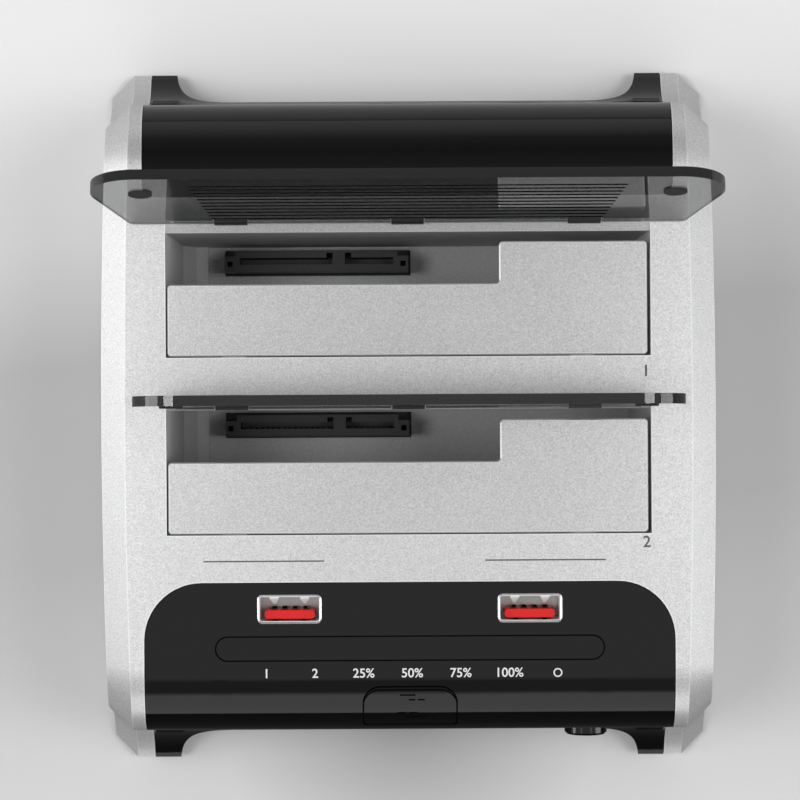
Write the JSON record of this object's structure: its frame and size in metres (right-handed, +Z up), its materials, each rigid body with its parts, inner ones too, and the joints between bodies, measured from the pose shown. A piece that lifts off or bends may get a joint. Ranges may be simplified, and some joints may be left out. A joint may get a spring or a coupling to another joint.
{
  "type": "drive duplicator",
  "caption": "Desktop dock that holds drives upright behind smoked flaps and folding doors, with facing ports and buttons on its black front.",
  "frame": {"origin": "centre of the footprint at the surface the part stands on", "axes": "+X right as seen from the front, +Y to the rear, +Z up"},
  "size_m": [0.1422, 0.1604, 0.0942],
  "materials": {
    "silver_paint": "fine sparkle silver paint, satin",
    "gloss_black": "polished black moulding",
    "black_plastic": "fine matte black moulding",
    "liner_grey": "matte grey moulding",
    "smoked_acrylic": "polished smoked acrylic",
    "rubber": "matte rubber",
    "steel": "plated steel",
    "contact_metal": "gold flash",
    "white_plastic": "moulded nylon",
    "red_plastic": "moulded red plastic",
    "circuit_board": "solder mask over laminate",
    "can_aluminium": "drawn can"
  },
  "bodies": {
    "housing": {"upper_shell": "silver_paint", "front_panel": "gloss_black", "rear_panel": "gloss_black", "base_pan": "black_plastic", "rubber_feet": "rubber", "source_bay_liner": "liner_grey", "source_door_pins": "steel", "source_door_springs": "steel", "source_flap_pin": "steel", "source_flap_knuckles": "black_plastic", "source_connector": "black_plastic", "source_connector_contacts": "contact_metal", "target_bay_liner": "liner_grey", "target_door_pins": "steel", "target_door_springs": "steel", "target_flap_pin": "steel", "target_flap_knuckles": "black_plastic", "target_connector": "black_plastic", "target_connector_contacts": "contact_metal", "usb_shell_left": "steel", "usb_insert_left": "white_plastic", "usb_tongue_left": "red_plastic", "usb_shell_right": "steel", "usb_insert_right": "white_plastic", "usb_tongue_right": "red_plastic", "usb_contacts": "contact_metal", "main_board": "circuit_board", "port_board": "circuit_board", "bridge_chip": "black_plastic", "capacitors": "can_aluminium", "front_board": "circuit_board", "board_headers": "white_plastic", "board_ribbon": "white_plastic", "light_bar": "smoked_acrylic", "status_leds": "white_plastic", "clone_switch": "black_plastic", "power_switch": "black_plastic", "dc_jack": "black_plastic", "dc_pin": "contact_metal", "host_port_shell": "steel", "host_port_insert": "black_plastic"},
    "source_door": {"source_door": "silver_paint"},
    "target_door": {"target_door": "silver_paint"},
    "source_flap": {"source_flap": "smoked_acrylic", "source_flap_bumpers": "rubber"},
    "target_flap": {"target_flap": "smoked_acrylic", "target_flap_bumpers": "rubber"},
    "clone_button": {"clone_button": "gloss_black"},
    "power_button": {"power_button": "gloss_black"}
  },
  "joints": [
    {"name": "source_flap_hinge", "type": "hinge", "parent": "housing", "child": "source_flap", "pos_m": [0, 0.04206, 0.06365], "axis": [-1, 0, 0], "range_deg": [-102, 0]},
    {"name": "source_door_hinge", "type": "hinge", "parent": "housing", "child": "source_door", "pos_m": [0, 0.00846, 0.0579], "axis": [-1, 0, 0], "range_deg": [0, 90], "stiffness_Nm_per_rad": 0.008, "springref_deg": -51.57},
    {"name": "target_flap_hinge", "type": "hinge", "parent": "housing", "child": "target_flap", "pos_m": [0, 0.00306, 0.06365], "axis": [-1, 0, 0], "range_deg": [-91, 0]},
    {"name": "target_door_hinge", "type": "hinge", "parent": "housing", "child": "target_door", "pos_m": [0, -0.02909, 0.0579], "axis": [-1, 0, 0], "range_deg": [0, 90], "stiffness_Nm_per_rad": 0.008, "springref_deg": -51.57},
    {"name": "clone_button_press", "type": "slide", "parent": "housing", "child": "clone_button", "axis": [0, 0.6334, -0.7738], "range_m": [0, 0.0008], "stiffness_N_per_m": 350, "springref_m": -0.0006},
    {"name": "power_button_press", "type": "slide", "parent": "housing", "child": "power_button", "axis": [0, 1, 0], "range_m": [0, 0.001], "stiffness_N_per_m": 400, "springref_m": -0.0006}
  ]
}
